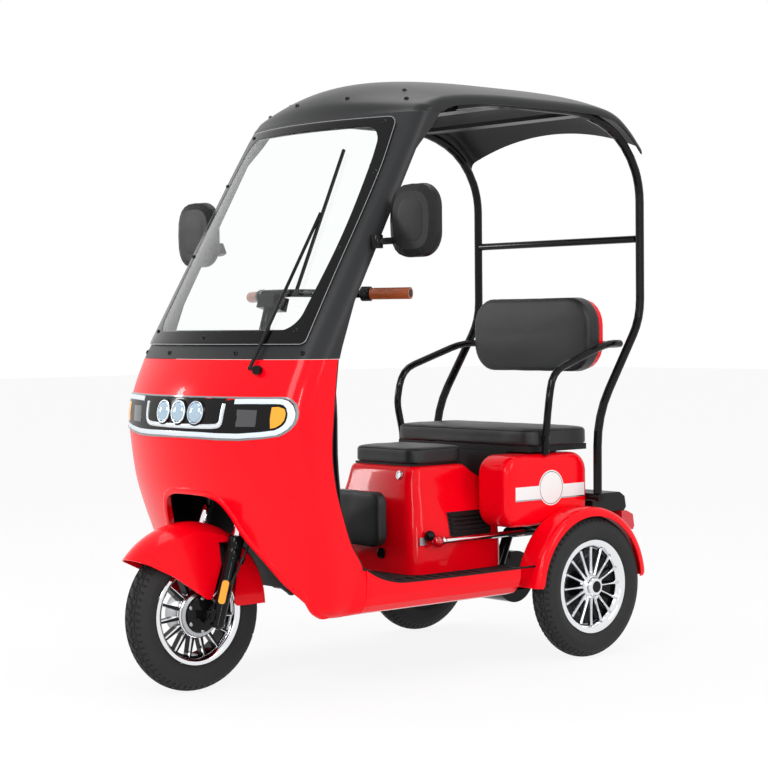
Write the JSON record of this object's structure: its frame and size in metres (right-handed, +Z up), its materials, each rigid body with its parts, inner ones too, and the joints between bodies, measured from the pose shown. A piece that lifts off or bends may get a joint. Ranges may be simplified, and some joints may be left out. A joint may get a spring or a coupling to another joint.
{
  "type": "electric tricycle with screen and roof",
  "caption": "Three-wheeled electric vehicle with a curved front shield, windscreen, tubular roof frame, driver's saddle and a rear bench with backrest and armrests.",
  "frame": {"origin": "on the ground, in the middle of the vehicle's outer box, midway between its front and rear ends", "axes": "+Z up, the front of the vehicle faces -Y, +X toward its left side"},
  "size_m": [1.134, 1.6289, 1.6739],
  "materials": {
    "red_gloss": "high gloss moulded panel",
    "red_paint": "gloss",
    "black_paint": "gloss enamel",
    "fork_black": "gloss",
    "dark_plastic": "satin textured",
    "roof_plastic": "satin",
    "black_plastic": "satin",
    "mat": "ribbed matt",
    "lamp_black": "gloss",
    "lens": "clear",
    "clear_glass": "clear",
    "red_lens": "clear lens",
    "black_leather": "fine grain",
    "chrome": "polished",
    "grip_rubber": "matt with black inlay",
    "tyre_rubber": "matt",
    "rim_black": "gloss black with polished lip",
    "rim_alloy": "polished"
  },
  "bodies": {
    "root": {"chassis": "black_paint", "front_shield": "red_gloss", "skirts": "red_gloss", "shield_liner": "dark_plastic", "wheel_well": "black_plastic", "floor_board": "mat", "headlamp": "lamp_black", "headlamp_lenses": "lens", "windscreen_frame": "dark_plastic", "windscreen": "clear_glass", "wiper": "black_plastic", "roof_panel": "roof_plastic", "roof_tubes": "black_paint", "cross_bar": "black_paint", "roof_braces": "dark_plastic", "mirrors": "black_plastic", "battery_box": "red_gloss", "vents": "black_plastic", "rear_base": "black_plastic", "side_boxes": "red_gloss", "bench_plate": "black_plastic", "bench_cushion": "black_leather", "backrest_shell": "red_gloss", "backrest_pad": "black_leather", "armrests": "black_paint", "rear_fenders": "red_gloss", "tail_lamps": "red_lens", "tail_piece": "black_plastic", "rear_axle": "black_paint", "springs": "red_paint", "side_lever": "chrome", "gear_lever": "black_plastic", "child_pad_arm": "black_paint"},
    "steering": {"fork": "fork_black", "handlebar": "black_paint", "grips": "grip_rubber", "controls": "black_plastic", "front_fender": "red_gloss"},
    "front_wheel": {"front_tyre": "tyre_rubber", "front_rim": "rim_black"},
    "rear_wheel_left": {"rear_tyre_left": "tyre_rubber", "rear_rim_left": "rim_alloy"},
    "rear_wheel_right": {"rear_tyre_right": "tyre_rubber", "rear_rim_right": "rim_alloy"},
    "driver_seat_lid": {"driver_seat": "black_leather", "driver_seat_plate": "black_plastic"},
    "child_seat": {"child_pad": "black_leather", "child_pad_plate": "black_plastic"}
  },
  "joints": [
    {"name": "steering_turn", "type": "hinge", "parent": "root", "child": "steering", "pos_m": [0, -0.44301, 0.65865], "axis": [0, 0.284, 0.9588], "range_deg": [-24, 24]},
    {"name": "front_wheel_spin", "type": "hinge", "parent": "steering", "child": "front_wheel", "pos_m": [0, -0.6065, 0.208], "axis": [1, 0, 0], "continuous": true},
    {"name": "rear_wheel_left_spin", "type": "hinge", "parent": "root", "child": "rear_wheel_left", "pos_m": [0.363, 0.5395, 0.208], "axis": [1, 0, 0], "continuous": true},
    {"name": "rear_wheel_right_spin", "type": "hinge", "parent": "root", "child": "rear_wheel_right", "pos_m": [-0.363, 0.5395, 0.208], "axis": [1, 0, 0], "continuous": true},
    {"name": "driver_seat_lift", "type": "hinge", "parent": "root", "child": "driver_seat_lid", "pos_m": [0, 0.2785, 0.57], "axis": [-1, 0, 0], "range_deg": [0, 70]},
    {"name": "child_pad_fold", "type": "hinge", "parent": "root", "child": "child_seat", "pos_m": [0, 0.0045, 0.484], "axis": [-1, 0, 0], "range_deg": [0, 90]}
  ]
}
